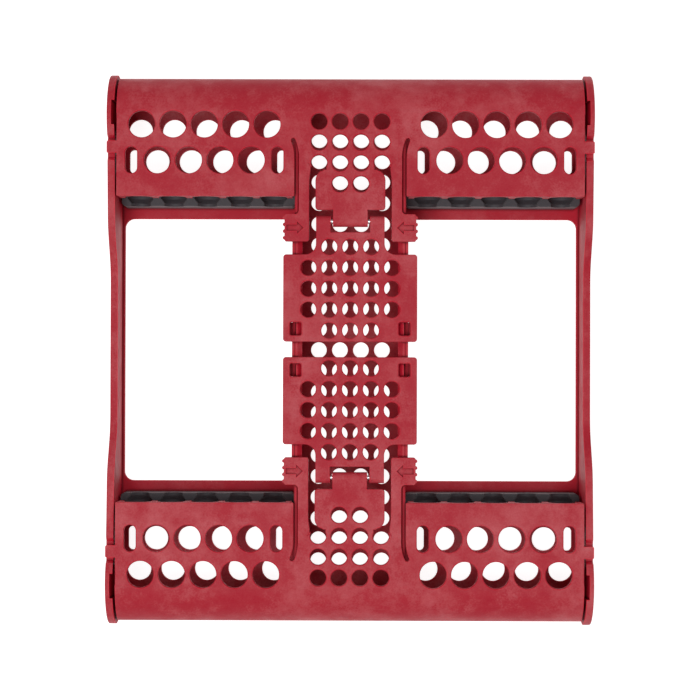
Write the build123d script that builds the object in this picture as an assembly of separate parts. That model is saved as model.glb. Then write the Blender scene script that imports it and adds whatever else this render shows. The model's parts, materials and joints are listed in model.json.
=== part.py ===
from build123d import *
import math
import os

# A hinged, perforated instrument cassette. One base tray carries two end covers, which turn on
# trunnions at its ends. Each cover has two squeeze latches and carries an accessory lid on a steel pin.
#
# Frame: millimetres, origin at the centre of the underside, +X across the tray, +Y to the rear end,
# +Z up. The front end is the rear end's mirror image, and the left side is the right side's.
# Every function draws the rear or the right-hand piece.

# ---------------------------------------------------------------- driving dimensions
INCH = 25.4
LENGTH = 8 * INCH  # Y, over the rounded ends of the side walls
WIDTH = 7 * INCH  # X, over the side walls
HEIGHT = 1.25 * INCH  # Z, over the side walls
PLATE = 2.2  # thickness of the covers and lids
RUNNING = 0.08  # radial clearance of a turning joint
SMALL_HOLE = 2.95  # radius of the fine perforation
LARGE_HOLE = 4.85  # radius of the spray holes over the instruments
EDGE = 0.35  # broken edge round visible rims

# ---------------------------------------------------------------- base tray
SIDE_WALL = 2.7
FLOOR = 2.0
SIDE_FACE = WIDTH / 2 - SIDE_WALL  # inner face of a side wall
VALLEY = (29.0, 17.2)  # Y and Z where the rim of the side wall starts to rise from its dip
SHOULDER = (44.5, 26.6)  # Y and Z where that rise ends
NOTCH_RIM = 28.7  # rim just in front of the side tab's notch
NOTCH_Y = (69.0, 70.2, 77.0, 78.0)
NOTCH_Z = 27.6
CHANNEL_IN, CHANNEL_OUT = 17.5, 21.2  # faces of the middle channel's beaded walls
CHANNEL_REAR = 20.3  # outer face of those walls beside the rails
RIDGE_END = 49.0  # Y where the outer ridge of their beads stops
SNAP_Y = (5.1, 9.9)  # square opening and snap prong of a lid
CHANNEL_TOP = 28.3
WINDOW_END = 49.4
BAY_X = 53.3  # middle of an instrument bay
LIP_TOP = 6.2
FLOOR_PITCH = 5 / 16 * INCH  # perforation of the channel floor

# ---------------------------------------------------------------- cover hinge
BARREL = 14.5  # outer radius of the cover's rolled end
PIVOT_Y = 85.8
PIVOT_Z = 16.3
TOP = PIVOT_Z + BARREL  # top face of covers and lids
UNDER = TOP - PLATE
ROLL = 25.0  # degrees that the rolled end reaches below its axis
SWEEP_ROOM = BARREL + 0.35
TRUNNION = 4.0
TRUNNION_END = 87.5

# ---------------------------------------------------------------- cover
COVER_X = 85.35
COVER_FRONT = 55.8
FLAP_IN = 20.4
TONGUE_X = 12.75
TONGUE_END = 50.8
TAB_X = 6.35
SIDE_TAB_Y = (71.5, 75.9)
FINE_PITCH = 0.3 * INCH  # perforation of the covers' middle and of the lids
FIRST_ROW_Y = 83.1
ROW_STEP = 11.43  # spray holes across a flap
FLAP_ROWS = (82.0, 68.9)
SKIRT = 1.5
SKIRT_Z = 23.5
TOOTH_Z = 19.5  # lowest edge of the toothed front wall
ARCH = 5.1

# ---------------------------------------------------------------- accessory lid and its pin
PIN = 0.8
KNUCKLE = 2.0
PIN_Y = 46.7
PIN_Z = TOP - KNUCKLE
EAR_IN, EAR_OUT = 7.17, 12.5
LID_X = 24.4
LID_INNER, LID_SHOULDER = 2.8, 34.6
LID_FIRST_ROW = 6.85

# ---------------------------------------------------------------- squeeze latch
ARM_IN, ARM_OUT = 15.05, 18.85
ARM_ROOT_Y = 66.5
ARM_ROOT_X = (ARM_IN + ARM_OUT) / 2
ARM_KNUCKLE = (ARM_OUT - ARM_IN) / 2
BUTTON_X = 24.0
BUTTON_Y = (39.3, 49.3)
BUTTON_SKIRT_Z = 22.5
GRIP_BUMP = 0.62

# ---------------------------------------------------------------- instrument rails
RAIL_STEP = 12.4
RAIL_Y = (53.4, 62.6)
RAIL_X = (20.6, 85.2)
RAIL_TOP = 14.0
SEAT_TOP = 7.0
SEAT_GAUGE = 1.6
SILL = 1.1  # thickness of the rail's notched front sill
NOTCH_RADIUS, POCKET_RADIUS = 3.65, 4.95
HOLD_Y = (57.4, 61.4)
HOLD_X = (23.0, 83.6)
HOLD_BOTTOM = 17.6
HOLD_RIB_Z = 23.0


def span(x, y):
    """A plan rectangle between pairs of limits."""
    return Pos((x[0] + x[1]) / 2, (y[0] + y[1]) / 2) * Rectangle(x[1] - x[0], y[1] - y[0])


def rounded_span(x, y, radius):
    """A plan rectangle with rounded corners between pairs of limits."""
    return Pos((x[0] + x[1]) / 2, (y[0] + y[1]) / 2) * RectangleRounded(x[1] - x[0], y[1] - y[0], radius)


def prism(face, z):
    """A plan outline carried from z[0] up to z[1]."""
    return extrude(Pos(0, 0, z[0]) * face, amount=z[1] - z[0], dir=(0, 0, 1))


def block(x, y, z):
    """A box between pairs of limits."""
    return prism(span(x, y), z)


def across(profile, x):
    """An outline whose own axes are Y and Z, carried along X."""
    plane = Plane(origin=(x[0], 0, 0), x_dir=(0, 1, 0), z_dir=(1, 0, 0))
    return extrude(plane * profile, amount=x[1] - x[0], dir=(1, 0, 0))


def along(profile, y):
    """An outline whose own axes are X and Z, carried along Y."""
    plane = Plane(origin=(0, y[1], 0), x_dir=(1, 0, 0), z_dir=(0, -1, 0))
    return extrude(plane * profile, amount=y[1] - y[0], dir=(0, -1, 0))


def rod(radius, x, y, z):
    """A cylinder lying along X."""
    return across(Pos(y, z) * Circle(radius), x)


def both_sides(shape):
    """The shape and its mirror image across the tray."""
    return shape + mirror(shape, Plane.YZ)


def both_ends(shape):
    """The shape and its mirror image at the other end of the tray."""
    return shape + mirror(shape, Plane.XZ)


def steps(count, pitch):
    """Offsets of a row of evenly spaced features, centred on nought."""
    return [(i - (count - 1) / 2) * pitch for i in range(count)]


def holes(shape, places):
    """One sketch with the shape at every place."""
    return Sketch() + [Pos(x, y) * shape for x, y in places]


def punch(sketch):
    """Cutter for openings through a cover or lid, flared at the top so that their rims are broken."""
    flare = extrude(Pos(0, 0, TOP - EDGE) * sketch, amount=2 * EDGE, taper=-45)
    return prism(sketch, (UNDER - 1, TOP)) + flare


def spray_holes(middle, rows, pitch, radius, slot_offset, slot_width):
    """Five holes in the outer row, and four between two slots in the inner row, on the right-hand side."""
    sketch = holes(Circle(radius), [(middle + x, rows[0]) for x in steps(5, pitch)])
    sketch += holes(Circle(radius), [(middle + x, rows[1]) for x in steps(4, pitch)])
    slot = SlotOverall(2 * radius, slot_width, rotation=90)
    return sketch + holes(slot, [(middle - slot_offset, rows[1]), (middle + slot_offset, rows[1])])


# ================================================================ base tray
def side_wall():
    """Side wall with rounded ends, notches for the covers' side tabs and a dip beside the window."""
    outline = Pos(0, HEIGHT / 2) * SlotOverall(LENGTH, HEIGHT)
    rim = HEIGHT - PIVOT_Z
    rim_foot = (NOTCH_Y[3], PIVOT_Z + math.sqrt(rim**2 - (PIVOT_Y - NOTCH_Y[3]) ** 2))
    over = HEIGHT + 1
    edge = FilletPolyline((0, VALLEY[1]), VALLEY, SHOULDER, (NOTCH_Y[0], NOTCH_RIM), radius=18)
    edge += Polyline((NOTCH_Y[0], NOTCH_RIM), (NOTCH_Y[1], NOTCH_Z), (NOTCH_Y[2], NOTCH_Z), rim_foot)
    edge += RadiusArc(rim_foot, (PIVOT_Y, HEIGHT), rim)
    edge += Polyline((PIVOT_Y, HEIGHT), (PIVOT_Y, over), (0, over), (0, VALLEY[1]))
    removed = make_face(edge)
    outline -= removed
    outline -= mirror(removed, Plane.YZ)
    wall = across(outline, (SIDE_FACE, WIDTH / 2))
    return fillet(wall.faces().sort_by(Axis.X)[-1].edges(), 0.5)


def floor_and_lips():
    """The flat floor, with a lip at each end that follows the cover's rolled end."""
    outline = Pos(0, HEIGHT / 2) * SlotOverall(LENGTH, HEIGHT)
    outline &= Pos(0, LIP_TOP / 2) * Rectangle(LENGTH, LIP_TOP)
    outline -= Pos(0, FLOOR + LIP_TOP / 2) * Rectangle(2 * PIVOT_Y, LIP_TOP)
    return across(outline, (-SIDE_FACE, SIDE_FACE))


def floor_openings():
    """Plan of everything cut through the floor: windows, spray holes and channel perforation."""
    window = rounded_span((CHANNEL_OUT, SIDE_FACE - 1.0), (-WINDOW_END, WINDOW_END), 3.5)
    spray = spray_holes(54.05, (82.6, 71.1), INCH / 2, 4.45, 27.85, 3.4)
    channel = [(x, y) for x in steps(4, FLOOR_PITCH) for y in steps(21, FLOOR_PITCH)]
    return both_sides(window + both_ends(spray)) + holes(Circle(SMALL_HOLE), channel)


def channel_wall():
    """Wall beside the middle channel: its bead has two ridges and a slope that lids and latches close on."""
    foot = 25.9
    web = 1.4
    ridge_edge = 19.2
    slope = 1.4
    groove = 0.3
    bead = Polygon((CHANNEL_IN, foot), (CHANNEL_OUT, foot), (CHANNEL_OUT, CHANNEL_TOP), (ridge_edge, CHANNEL_TOP),
                   (CHANNEL_IN, CHANNEL_TOP - slope), align=None)
    bead = fillet(bead.vertices().group_by(Axis.Y)[-1], 0.2)
    bead += span((CHANNEL_IN + web, CHANNEL_OUT), (0, foot + 0.1))
    bead -= span((CHANNEL_REAR - groove, CHANNEL_REAR), (CHANNEL_TOP - groove, HEIGHT))
    wall = along(bead, (-PIVOT_Y, PIVOT_Y))
    for y in ((-PIVOT_Y, -RIDGE_END), (RIDGE_END, PIVOT_Y)):
        wall -= block((CHANNEL_REAR, WIDTH / 2), y, (FLOOR, HEIGHT))
    pocket = block((CHANNEL_REAR - 0.6, WIDTH / 2), (SNAP_Y[0] - 0.6, SNAP_Y[1] + 0.6), (SKIRT_Z - 0.9, HEIGHT))
    return wall - both_ends(pocket)


def rail_seat():
    """The rib that a rail is pushed down on."""
    middle = (RAIL_Y[0] + RAIL_Y[1]) / 2
    reach = SEAT_GAUGE / 2
    return block((CHANNEL_REAR - 0.2, SIDE_FACE + 0.2), (middle - reach, middle + reach), (0, SEAT_TOP))


def base_tray():
    """Floor, side walls, middle channel and rail seats, moulded in one."""
    tray = floor_and_lips() + both_sides(side_wall() + channel_wall() + both_ends(rail_seat()))
    sweep = rod(SWEEP_ROOM, (-SIDE_FACE, SIDE_FACE), PIVOT_Y, PIVOT_Z)
    socket = rod(TRUNNION + RUNNING, (SIDE_FACE - 1, TRUNNION_END + 0.2), PIVOT_Y, PIVOT_Z)
    ramp_foot = PIVOT_Z + TRUNNION + 0.6
    start = SIDE_FACE - 1
    ramp = Polygon((start, HEIGHT + 1), (SIDE_FACE + 1.2, HEIGHT + 1), (SIDE_FACE + 0.4, ramp_foot),
                   (start, ramp_foot), align=None)
    lead_in = along(ramp, (PIVOT_Y - TRUNNION, PIVOT_Y + TRUNNION + 1))
    tray -= both_ends(sweep)
    tray -= both_sides(both_ends(socket + lead_in))
    return tray - prism(floor_openings(), (-1, LIP_TOP))


# ================================================================ end cover
def latch_slot():
    """Plan of the slot between a flap and its latch arm, which bends outwards at its closed end."""
    middle = (ARM_OUT + FLAP_IN) / 2
    gap = FLAP_IN - ARM_OUT
    bend = (middle, 70.0)
    arc = TangentArc(bend, (20.9, 76.2), tangent=(0, 1))
    return span((ARM_OUT, FLAP_IN), (ARM_ROOT_Y - 1, bend[1] + 0.2)) + SlotArc(arc, gap)


def cover_plan():
    """Plan of the cover's plate: two flaps, the middle, and the tongue that ends in a hinge tab."""
    shoulder_radius = 4.0
    shoulder = (TONGUE_X - shoulder_radius, 61.6)
    plan = span((-COVER_X, COVER_X), (ARM_ROOT_Y, PIVOT_Y))
    plan += both_sides(rounded_span((FLAP_IN, COVER_X), (COVER_FRONT, 75), 0.5))
    plan += rounded_span((-TONGUE_X, TONGUE_X), (TONGUE_END, 60), 1.2)
    plan += span((-TONGUE_X, TONGUE_X), (58, shoulder[1]))
    plan += span((-shoulder[0], shoulder[0]), (60, ARM_ROOT_Y + 0.1))
    plan += both_sides(Pos(*shoulder) * Circle(shoulder_radius))
    plan += span((-TAB_X, TAB_X), (PIN_Y, TONGUE_END + 1))
    return plan - both_sides(latch_slot() + Pos(ARM_ROOT_X, ARM_ROOT_Y) * Circle(ARM_KNUCKLE + RUNNING))


def cover_openings():
    """Plan of the spray holes over the instruments and the fine perforation of the middle."""
    fine = [(x, FIRST_ROW_Y - n * FINE_PITCH) for x in steps(4, FINE_PITCH) for n in range(3)]
    fine += [(x, FIRST_ROW_Y - 3 * FINE_PITCH) for x in steps(2, FINE_PITCH)]
    spray = spray_holes(BAY_X, FLAP_ROWS, ROW_STEP, LARGE_HOLE, 7 / 3 * ROW_STEP, 4.3)
    return holes(Circle(SMALL_HOLE), fine) + both_sides(spray)


def rolled_end():
    """The shell that rolls down over the end of the tray, closed by a cheek at each side."""
    reach = 2 * BARREL
    low = (reach * math.cos(math.radians(ROLL)), -reach * math.sin(math.radians(ROLL)))
    wedge = Polygon((0, 0), (0, reach), (reach, reach), low, align=None)
    shell = (Circle(BARREL) - Circle(BARREL - PLATE)) & wedge
    cheek = (Circle(BARREL - 0.1) & wedge) + Circle(TRUNNION + 2)
    cheek_x = (COVER_X - 2.0, COVER_X)
    place = Pos(PIVOT_Y, PIVOT_Z)
    trunnion = rod(TRUNNION, (cheek_x[0], TRUNNION_END), PIVOT_Y, PIVOT_Z)
    trunnion = chamfer(trunnion.faces().sort_by(Axis.X)[-1].edges(), 0.5)
    web = block(cheek_x, (PIVOT_Y - TRUNNION, PIVOT_Y), (PIVOT_Z, UNDER + 0.1))
    return across(place * shell, (-COVER_X, COVER_X)) + both_sides(across(place * cheek, cheek_x) + trunnion + web)


def front_wall():
    """Toothed wall under a flap's front edge, with an arch over each instrument place."""
    profile = span((FLAP_IN + 1, COVER_X - 0.3), (TOOTH_Z, UNDER + 0.1))
    arch_top = UNDER - 1.0 - ARCH
    arch = Pos(0, arch_top) * Circle(ARCH) + span((-ARCH, ARCH), (TOOTH_Z - 1, arch_top))
    profile -= holes(arch, [(BAY_X + x, 0) for x in steps(5, RAIL_STEP)])
    return along(profile, (COVER_FRONT + 0.1, HOLD_Y[0]))


def cover():
    """The end cover, moulded in one: plate, rolled end, trunnions, side tabs, skirts and hinge tab."""
    plate = prism(cover_plan(), (UNDER, TOP))
    rims = plate.faces().sort_by(Axis.Z)[-1].edges()
    rims = rims.filter_by(lambda e: PIN_Y < e.center().Y < PIVOT_Y - 0.5 and abs(e.center().X) < COVER_X - 0.1)
    plate = fillet(rims, EDGE)
    middle_rib = (HOLD_Y[0] + HOLD_Y[1]) / 2
    skirts = block((FLAP_IN + 1, FLAP_IN + 1 + SKIRT), (HOLD_Y[0], 76), (SKIRT_Z, UNDER + 0.1))
    skirts += block((COVER_X - SKIRT, COVER_X), (HOLD_Y[0], PIVOT_Y), (SKIRT_Z, UNDER + 0.1))
    skirts += block(HOLD_X, (middle_rib - 0.7, middle_rib + 0.7), (HOLD_RIB_Z, UNDER + 0.1))
    side_tab = prism(rounded_span((COVER_X - 2, WIDTH / 2), SIDE_TAB_Y, 0.5), (UNDER + 0.3, TOP))
    sides = both_sides(skirts + front_wall() + side_tab)
    knuckle = rod(KNUCKLE, (-TAB_X, TAB_X), PIN_Y, PIN_Z)
    body = plate + rolled_end() + sides + knuckle - punch(cover_openings())
    return body - rod(PIN, (-TAB_X - 1, TAB_X + 1), PIN_Y, PIN_Z)


# ================================================================ accessory lid
def lid_plan():
    """Plan of the lid: a wide perforated panel, a flared neck and two ears for the pin."""
    flare = 4.0
    corner = EAR_OUT + flare
    recess = PIN_Y - 4.0
    plan = rounded_span((-LID_X, LID_X), (LID_INNER, LID_SHOULDER), 1.1)
    plan += span((-EAR_OUT, EAR_OUT), (LID_SHOULDER - 1, recess))
    flares = span((EAR_OUT - 1, corner), (LID_SHOULDER - 1, LID_SHOULDER + flare))
    flares -= Pos(corner, LID_SHOULDER + flare) * Circle(flare)
    return plan + both_sides(flares + span((EAR_IN, EAR_OUT), (recess - 1, PIN_Y)))


def lid_openings():
    """Plan of the lid's perforation and of the square openings over its snap prongs."""
    rows = [3, 5, 5, 5, 3]
    fine = [(x, LID_FIRST_ROW + n * FINE_PITCH) for n, count in enumerate(rows) for x in steps(count, FINE_PITCH)]
    return holes(Circle(SMALL_HOLE - 0.1), fine) + both_sides(rounded_span((17.7, 21.9), SNAP_Y, 0.7))


def accessory_lid():
    """The lid over the middle channel, with a snap prong beside each square opening."""
    plate = prism(lid_plan(), (UNDER, TOP))
    rims = plate.faces().sort_by(Axis.Z)[-1].edges().filter_by(lambda e: e.center().Y < PIN_Y - 0.1)
    plate = fillet(rims, EDGE)
    prong_x = CHANNEL_OUT + 0.3
    prong = block((prong_x, prong_x + 1.2), SNAP_Y, (SKIRT_Z, UNDER + 0.1))
    prong += block((CHANNEL_REAR - 0.3, prong_x + 0.1), SNAP_Y, (SKIRT_Z, SKIRT_Z + 1.5))
    knuckle = rod(KNUCKLE, (EAR_IN, EAR_OUT), PIN_Y, PIN_Z)
    lid = plate + both_sides(prong + knuckle) - punch(lid_openings())
    return lid - rod(PIN + RUNNING, (-EAR_OUT - 1, EAR_OUT + 1), PIN_Y, PIN_Z)


def hinge_pin():
    """The straight steel pin that joins the lid's ears to the cover's tab."""
    pin = rod(PIN, (-EAR_OUT, EAR_OUT), PIN_Y, PIN_Z)
    return chamfer(pin.edges().filter_by(GeomType.CIRCLE), 0.15)


# ================================================================ squeeze latch
def arrow():
    """Plan of the arrow sunk in the button, which points to the middle of the tray."""
    middle = (BUTTON_Y[0] + BUTTON_Y[1]) / 2
    tip, neck, tail = 17.0, 19.5, 23.3
    half_head, half_shaft = 2.4, 1.15
    points = [(tip, 0), (neck, half_head), (neck, half_shaft), (tail, half_shaft),
              (tail, -half_shaft), (neck, -half_shaft), (neck, -half_head)]
    return Pos(0, middle) * Polygon(*points, align=None)


def latch_arm():
    """The arm that the squeeze button stands on, with its nose beside the channel wall's bead."""
    fillet_radius = 1.4
    corner = ARM_OUT + fillet_radius
    plan = span((ARM_IN, ARM_OUT), (BUTTON_Y[0] + 2, ARM_ROOT_Y))
    plan += Pos(ARM_ROOT_X, ARM_ROOT_Y) * Circle(ARM_KNUCKLE)
    plan += rounded_span((ARM_IN, BUTTON_X), BUTTON_Y, 0.8)
    web = span((ARM_OUT - 1, corner), (BUTTON_Y[1] - 1, BUTTON_Y[1] + fillet_radius))
    plan += web - Pos(corner, BUTTON_Y[1] + fillet_radius) * Circle(fillet_radius)
    middle = (BUTTON_Y[0] + BUTTON_Y[1]) / 2
    plan += holes(Circle(GRIP_BUMP), [(BUTTON_X, middle + y) for y in steps(4, 2.45)])
    plate = prism(plan, (UNDER, TOP))
    rims = plate.faces().sort_by(Axis.Z)[-1].edges().filter_by(lambda e: e.center().Y < ARM_ROOT_Y - 0.5)
    plate = fillet(rims, 0.25)
    under_button = (BUTTON_Y[0] + 1, BUTTON_Y[1] - 1)
    stem = block((ARM_IN, ARM_IN + 1.8), under_button, (BUTTON_SKIRT_Z, UNDER + 0.1))
    nose = block((ARM_IN, CHANNEL_IN - 0.1), under_button, (BUTTON_SKIRT_Z, BUTTON_SKIRT_Z + 2.4))
    skirt = block((BUTTON_X - 0.7, BUTTON_X), under_button, (BUTTON_SKIRT_Z + 1, UNDER + 0.1))
    return plate + stem + nose + skirt - prism(arrow(), (TOP - 0.5, TOP + 1))


# ================================================================ silicone rails
def instrument_rail():
    """The soft rail that instruments lie in: five pockets behind a notched front sill."""
    middle = (RAIL_Y[0] + RAIL_Y[1]) / 2
    reach = SEAT_GAUGE / 2
    rail = prism(rounded_span(RAIL_X, RAIL_Y, 1.5), (FLOOR, RAIL_TOP))
    rail -= block((0, SIDE_FACE), (middle - reach, middle + reach), (0, SEAT_TOP))
    flare = 1.7
    sill_back = RAIL_Y[0] + SILL
    flared = sill_back + flare
    half = Polyline((0, RAIL_Y[0] - 1), (NOTCH_RADIUS, RAIL_Y[0] - 1), (NOTCH_RADIUS, sill_back),
                    (POCKET_RADIUS, flared), (POCKET_RADIUS, RAIL_Y[1] + 1), (0, RAIL_Y[1] + 1), close=True)
    pocket = revolve(make_face(half), Axis.Y)
    for x in steps(5, RAIL_STEP):
        rail -= Pos(BAY_X + x, 0, RAIL_TOP) * pocket
    return rail


def hold_down_rail():
    """The soft rail under a flap that keeps instruments down in the rail below."""
    middle = (HOLD_Y[0] + HOLD_Y[1]) / 2
    arch = 4.0
    profile = span(HOLD_X, (HOLD_BOTTOM, UNDER))
    profile -= holes(Circle(arch), [(BAY_X + x, HOLD_BOTTOM) for x in steps(5, RAIL_STEP)])
    rail = along(profile, HOLD_Y)
    return rail - block((0, SIDE_FACE), (middle - 0.7, middle + 0.7), (HOLD_RIB_Z, UNDER + 1))


# ================================================================ every piece in its place
def mirrored(shape, end, side="right"):
    """The rear right-hand shape, moved by reflection to the named end and side."""
    if end == "front":
        shape = mirror(shape, Plane.XZ)
    if side == "left":
        shape = mirror(shape, Plane.YZ)
    return shape


os.makedirs("parts", exist_ok=True)
pieces = {"base_tray": base_tray()}
whole_width = {"cover": cover(), "accessory_lid": accessory_lid(), "lid_hinge_pin": hinge_pin()}
one_sided = {"latch_arm": latch_arm(), "instrument_rail": instrument_rail(), "hold_down_rail": hold_down_rail()}
for end in ("rear", "front"):
    for name, shape in whole_width.items():
        pieces[f"{end}_{name}"] = mirrored(shape, end)
    for side in ("left", "right"):
        for name, shape in one_sided.items():
            pieces[f"{end}_{side}_{name}"] = mirrored(shape, end, side)
for name, shape in pieces.items():
    export_step(shape, f"parts/{name}.step")
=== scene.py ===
import json
import math

import bmesh
import bpy
from mathutils import Euler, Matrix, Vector


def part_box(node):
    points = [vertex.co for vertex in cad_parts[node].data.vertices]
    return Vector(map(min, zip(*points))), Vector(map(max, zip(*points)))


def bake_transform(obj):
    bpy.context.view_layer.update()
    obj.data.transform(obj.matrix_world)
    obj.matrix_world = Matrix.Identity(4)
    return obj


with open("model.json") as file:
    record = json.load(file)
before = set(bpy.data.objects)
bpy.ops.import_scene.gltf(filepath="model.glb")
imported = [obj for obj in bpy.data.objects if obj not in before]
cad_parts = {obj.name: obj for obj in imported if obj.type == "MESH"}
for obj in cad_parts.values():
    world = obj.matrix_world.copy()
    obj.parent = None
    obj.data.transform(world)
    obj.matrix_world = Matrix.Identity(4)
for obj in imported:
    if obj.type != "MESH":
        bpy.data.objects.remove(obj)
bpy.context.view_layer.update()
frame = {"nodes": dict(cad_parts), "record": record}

MM = 0.001
RED, GREY, STEEL = "red_plastic", "grey_silicone", "steel_pin"

# The squeeze latch's arm, in millimetres, as the CAD model has it at the rear right
ARM_INNER, ARM_OUTER = 15.05, 18.85
ARM_ROOT_Y = 66.5
PLATE = 2.2


# ---------------------------------------------------------------- material helpers
class Graph:
    """Short names for building one material's node tree."""

    def __init__(self, name):
        self.material = bpy.data.materials.new(name)
        self.material.use_nodes = True
        self.nodes = self.material.node_tree.nodes
        self.links = self.material.node_tree.links
        self.shader = self.nodes["Principled BSDF"]

    def put(self, value, socket):
        """Links an output, or sets a constant."""
        if isinstance(value, bpy.types.NodeSocket):
            self.links.new(value, socket)
        else:
            socket.default_value = value

    def noise(self, scale, detail=2.0, roughness=0.5, seed=0.0):
        """Fractal noise over the object's own coordinates, with scale in cycles per metre."""
        node = self.nodes.new("ShaderNodeTexNoise")
        node.noise_dimensions = "4D"
        node.inputs["W"].default_value = seed
        node.inputs["Scale"].default_value = scale
        node.inputs["Detail"].default_value = detail
        node.inputs["Roughness"].default_value = roughness
        self.links.new(self.coordinates(), node.inputs["Vector"])
        return node.outputs["Fac"]

    def coordinates(self):
        """Position in the object's own axes, in metres."""
        node = self.nodes.new("ShaderNodeTexCoord")
        return node.outputs["Object"]

    def spread(self, value, low, high, to_low=0.0, to_high=1.0):
        """Maps low..high to to_low..to_high, clamped."""
        node = self.nodes.new("ShaderNodeMapRange")
        node.clamp = True
        limits = {"From Min": low, "From Max": high, "To Min": to_low, "To Max": to_high}
        for name, number in limits.items():
            node.inputs[name].default_value = number
        self.put(value, node.inputs["Value"])
        return node.outputs["Result"]

    def math(self, operation, a, b):
        """One arithmetic step on two values."""
        node = self.nodes.new("ShaderNodeMath")
        node.operation = operation
        self.put(a, node.inputs[0])
        self.put(b, node.inputs[1])
        return node.outputs[0]

    def length(self, vector):
        """Distance from the object's origin."""
        node = self.nodes.new("ShaderNodeVectorMath")
        node.operation = "LENGTH"
        self.links.new(vector, node.inputs[0])
        return node.outputs["Value"]

    def mix(self, factor, a, b):
        """Colour a where factor is 0, and b where it is 1."""
        node = self.nodes.new("ShaderNodeMix")
        node.data_type = "RGBA"
        self.put(factor, node.inputs["Factor"])
        self.put(a, node.inputs[6])
        self.put(b, node.inputs[7])
        return node.outputs[2]

    def edges(self, radius):
        """Near 1 on convex and concave edges, and 0 on flats and gentle curves."""
        bevel = self.nodes.new("ShaderNodeBevel")
        bevel.samples = 6
        bevel.inputs["Radius"].default_value = radius
        geometry = self.nodes.new("ShaderNodeNewGeometry")
        dot = self.nodes.new("ShaderNodeVectorMath")
        dot.operation = "DOT_PRODUCT"
        self.links.new(bevel.outputs["Normal"], dot.inputs[0])
        self.links.new(geometry.outputs["Normal"], dot.inputs[1])
        return self.spread(dot.outputs["Value"], 0.996, 0.82)

    def hollows(self, distance, open_above, full_below):
        """1 where less than full_below of the nearby sky is open, and 0 where more than open_above is."""
        node = self.nodes.new("ShaderNodeAmbientOcclusion")
        node.samples = 6
        node.inputs["Distance"].default_value = distance
        return self.spread(node.outputs["AO"], open_above, full_below)

    def bump(self, height, strength, distance):
        """Fine relief on the shader's normal."""
        node = self.nodes.new("ShaderNodeBump")
        node.inputs["Strength"].default_value = strength
        node.inputs["Distance"].default_value = distance
        self.links.new(height, node.inputs["Height"])
        self.links.new(node.outputs["Normal"], self.shader.inputs["Normal"])


def red_plastic():
    """Slightly translucent nylon: cloudy and grained on the flats, with a painted highlight of purer red
    along its edges, and painted shade in its hollows and creases.
    """
    g = Graph("moulded_red")
    deep = (0.355, 0.008, 0.022, 1)
    flat = (0.420, 0.047, 0.058, 1)
    bloom = (0.50, 0.108, 0.122, 1)
    edge_highlight = (0.72, 0.012, 0.036, 1)
    painted_deep_shade = (0.47, 0.006, 0.024, 1)
    painted_crease_shade = (0.17, 0.0005, 0.006, 1)
    cloud = g.spread(g.noise(38, 4, 0.6, 1.0), 0.38, 0.64)
    streak = g.spread(g.noise(210, 3, 0.6, 6.0), 0.38, 0.66)
    speckle = g.spread(g.noise(1500, 2, 0.7, 2.0), 0.34, 0.68)
    tone = g.math("ADD", g.math("MULTIPLY", cloud, 0.45), g.math("MULTIPLY", streak, 0.30))
    tone = g.math("ADD", tone, g.math("MULTIPLY", speckle, 0.25))
    colour = g.mix(tone, deep, flat)
    patches = g.spread(g.noise(75, 3, 0.6, 8.0), 0.36, 0.72, 0.2, 0.75)
    colour = g.mix(g.math("MULTIPLY", g.spread(tone, 0.35, 0.85), patches), colour, bloom)
    # Painted highlight: edges are mixed towards a purer, brighter red, broken up in patches by noise.
    highlight_breakup = g.spread(g.noise(300, 2, 0.5, 3.0), 0.2, 0.6, 0.6, 1.0)
    colour = g.mix(g.math("MULTIPLY", g.edges(0.5 * MM), highlight_breakup), colour, edge_highlight)
    # Painted shade: where the nearby sky is mostly blocked, as under the covers and in the holes, the red
    # turns deeper and more saturated.
    colour = g.mix(g.hollows(14 * MM, 0.85, 0.35), colour, painted_deep_shade)
    # Painted shade: small creases and recess outlines, such as the arrows on the buttons, are darkened to a
    # deep red.
    colour = g.mix(g.hollows(1.1 * MM, 0.95, 0.60), colour, painted_crease_shade)
    g.put(colour, g.shader.inputs["Base Color"])
    g.put(g.spread(g.noise(120, 3, 0.6, 4.0), 0.3, 0.7, 0.52, 0.64), g.shader.inputs["Roughness"])
    g.put(0.16, g.shader.inputs["Specular IOR Level"])
    g.put(0.25, g.shader.inputs["Subsurface Weight"])
    g.put((1.0, 0.10, 0.14), g.shader.inputs["Subsurface Radius"])
    g.put(1.0 * MM, g.shader.inputs["Subsurface Scale"])
    g.bump(g.noise(2600, 3, 0.65, 5.0), 0.45, 0.05 * MM)
    return g.material


def grey_silicone():
    """Soft silicone: dull, slightly dusty on top, with a faint sheen."""
    g = Graph("grey_silicone_rubber")
    dust = g.spread(g.noise(90, 4, 0.65, 7.0), 0.35, 0.7)
    fine = g.spread(g.noise(1800, 2, 0.6, 8.0), 0.3, 0.7)
    tone = g.math("ADD", g.math("MULTIPLY", dust, 0.6), g.math("MULTIPLY", fine, 0.4))
    clean = (0.038, 0.034, 0.039, 1)
    dusty = (0.066, 0.057, 0.064, 1)
    g.put(g.mix(tone, clean, dusty), g.shader.inputs["Base Color"])
    g.put(g.spread(dust, 0, 1, 0.52, 0.68), g.shader.inputs["Roughness"])
    g.put(0.3, g.shader.inputs["Specular IOR Level"])
    g.put(0.06, g.shader.inputs["Sheen Weight"])
    g.put(0.5, g.shader.inputs["Sheen Roughness"])
    g.bump(g.noise(2200, 2, 0.6, 9.0), 0.3, 0.04 * MM)
    return g.material


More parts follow.
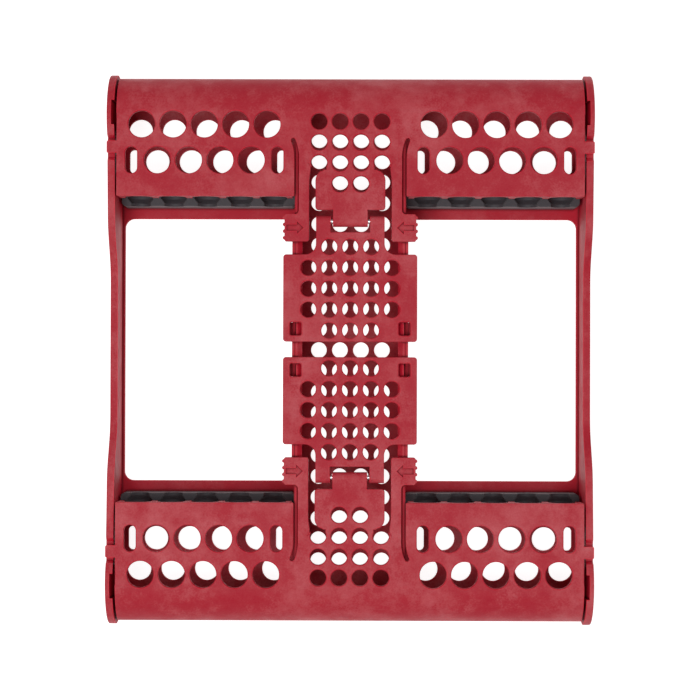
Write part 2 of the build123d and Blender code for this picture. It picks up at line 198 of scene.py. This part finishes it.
def steel_pin():
    """Drawn stainless wire with a slightly uneven polish."""
    g = Graph("drawn_steel")
    g.put(1.0, g.shader.inputs["Metallic"])
    dull = (0.55, 0.55, 0.57, 1)
    bright = (0.72, 0.72, 0.73, 1)
    g.put(g.mix(g.noise(500, 2, 0.5, 11.0), dull, bright), g.shader.inputs["Base Color"])
    g.put(g.spread(g.noise(900, 2, 0.5, 12.0), 0.3, 0.7, 0.22, 0.36), g.shader.inputs["Roughness"])
    return g.material


MATERIALS = {RED: red_plastic(), GREY: grey_silicone(), STEEL: steel_pin()}
for part in frame["record"]["subparts"]:
    data = frame["nodes"][part["node"]].data
    data.materials.clear()
    data.materials.append(MATERIALS[part["material_slot"]])


# ---------------------------------------------------------------- where a latch arm bends
def smooth(start, end, value):
    """0 before start, 1 after end, and an even S-curve between them."""
    t = min(max((value - start) / (end - start), 0.0), 1.0)
    return t * t * (3 - 2 * t)


def section(inner, outer, bottom, top, radius):
    """One cross-section of the arm in X and Z, with its two upper corners rounded."""
    arc_steps = 4
    points = [(inner, bottom)]
    for centre, first in ((inner + radius, math.pi), (outer - radius, math.pi / 2)):
        for step in range(arc_steps + 1):
            angle = first - step * math.pi / 2 / arc_steps
            points.append((centre + radius * math.cos(angle), top - radius + radius * math.sin(angle)))
    return points + [(outer, bottom)]


def latch_root(end, side):
    """A skin over an arm's root: it joins arm and plate, and widens towards the plate."""
    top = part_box(f"{end}_cover")[1][2] / MM
    bottom = top - PLATE
    proud, buried = 0.02, -0.15
    widening, widens_from = 0.55, 61.0
    taper_back, overlap = 0.6, 0.2
    rim_radius = 0.3
    toward_x = -1 if side == "left" else 1
    toward_y = -1 if end == "front" else 1
    mesh = bmesh.new()
    rings = []
    rows = [59.4] + [60.6 + 0.55 * step for step in range(17)] + [70.6]  # Y, the first and last buried
    for y in rows:
        grown = buried if y in (rows[0], rows[-1]) else proud
        inner = ARM_INNER - widening * smooth(widens_from, ARM_ROOT_Y, y)
        inner = min(inner + taper_back * max(y - ARM_ROOT_Y, 0), ARM_INNER + overlap)
        ring = section(inner - grown, ARM_OUTER + grown, bottom - grown, top + grown, rim_radius)
        rings.append([mesh.verts.new((toward_x * x * MM, toward_y * y * MM, z * MM)) for x, z in ring])
    count = len(rings[0])
    for near, far in zip(rings, rings[1:]):
        for i in range(count):
            j = (i + 1) % count
            mesh.faces.new((near[i], near[j], far[j], far[i]))
    mesh.faces.new(rings[0])
    mesh.faces.new(rings[-1])
    bmesh.ops.recalc_face_normals(mesh, faces=mesh.faces)
    for face in mesh.faces:
        face.smooth = True
    name = f"{end}_{side}_latch_root"
    data = bpy.data.meshes.new(name)
    mesh.to_mesh(data)
    mesh.free()
    data.set_sharp_from_angle(angle=math.radians(35))
    data.materials.append(MATERIALS[RED])
    piece = bpy.data.objects.new(name, data)
    bpy.context.scene.collection.objects.link(piece)
    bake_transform(piece)


for end in ("rear", "front"):
    for side in ("left", "right"):
        latch_root(end, side)


# ---------------------------------------------------------------- studio
def add_light(name, place, size, power):
    """A soft square light that faces the middle of the floor and isn't seen itself."""
    lamp = bpy.data.lights.new(name, "AREA")
    lamp.shape = "SQUARE"
    lamp.size = size
    lamp.energy = power
    holder = bpy.data.objects.new(name, lamp)
    holder.location = place
    holder.rotation_euler = (-Vector(place)).to_track_quat("-Z", "Y").to_euler()
    holder.visible_camera = False
    bpy.context.scene.collection.objects.link(holder)


def studio():
    """White floor and surroundings, a key light from above the front left and a fill light opposite; the
    floor also glows, a painted light strongest near the middle and fading outwards.
    """
    side = 6.0
    mesh = bpy.data.meshes.new("studio_floor")
    corners = [(-side, -side, 0), (side, -side, 0), (side, side, 0), (-side, side, 0)]
    mesh.from_pydata(corners, [], [(0, 1, 2, 3)])
    floor = bpy.data.objects.new("studio_floor", mesh)
    bpy.context.scene.collection.objects.link(floor)
    g = Graph("studio_glowing_floor")
    g.put((0.45, 0.45, 0.45, 1), g.shader.inputs["Base Color"])
    g.put(0.9, g.shader.inputs["Roughness"])
    # Painted light: the floor glows, strongest under the cassette and fading outwards, which washes out its
    # shadows and lights it from below.
    g.put((1, 1, 1, 1), g.shader.inputs["Emission Color"])
    distance = g.length(g.coordinates())
    g.put(g.spread(distance, 0.19, 0.55, 0.90, 0.20), g.shader.inputs["Emission Strength"])
    mesh.materials.append(g.material)
    world = bpy.data.worlds.new("studio")
    world.use_nodes = True
    backdrop = world.node_tree.nodes["Background"]
    backdrop.inputs["Color"].default_value = (1, 1, 1, 1)
    backdrop.inputs["Strength"].default_value = 0.33
    bpy.context.scene.world = world
    add_light("key", (-0.28, -0.30, 1.30), 0.55, 11.4)
    add_light("fill", (0.40, 0.35, 1.30), 0.7, 3.4)


def camera():
    """Almost straight above the closed cassette, leaning a little to its front right."""
    scene = bpy.context.scene
    width_seen = 0.25466  # metres across the image, at the lids' top
    height = 0.750  # metres above the lids' top
    turn = 0.16  # degrees about the line of sight
    lean = Vector((3.9 * MM, -6.4 * MM, height))
    aim = Vector((0, -0.2 * MM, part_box("rear_accessory_lid")[1][2]))
    lens = bpy.data.cameras.new("camera")
    lens.sensor_width = 36
    lens.lens = lens.sensor_width * height / width_seen
    lens.clip_start, lens.clip_end = 0.05, 20
    holder = bpy.data.objects.new("camera", lens)
    roll = Euler((0, 0, math.radians(turn))).to_quaternion()
    tilt = Vector((0, 0, 1)).rotation_difference(lean.normalized())
    holder.rotation_euler = (tilt @ roll).to_euler()
    holder.location = aim + lean
    scene.collection.objects.link(holder)
    scene.camera = holder
    scene.view_settings.view_transform = "Standard"


studio()
camera()
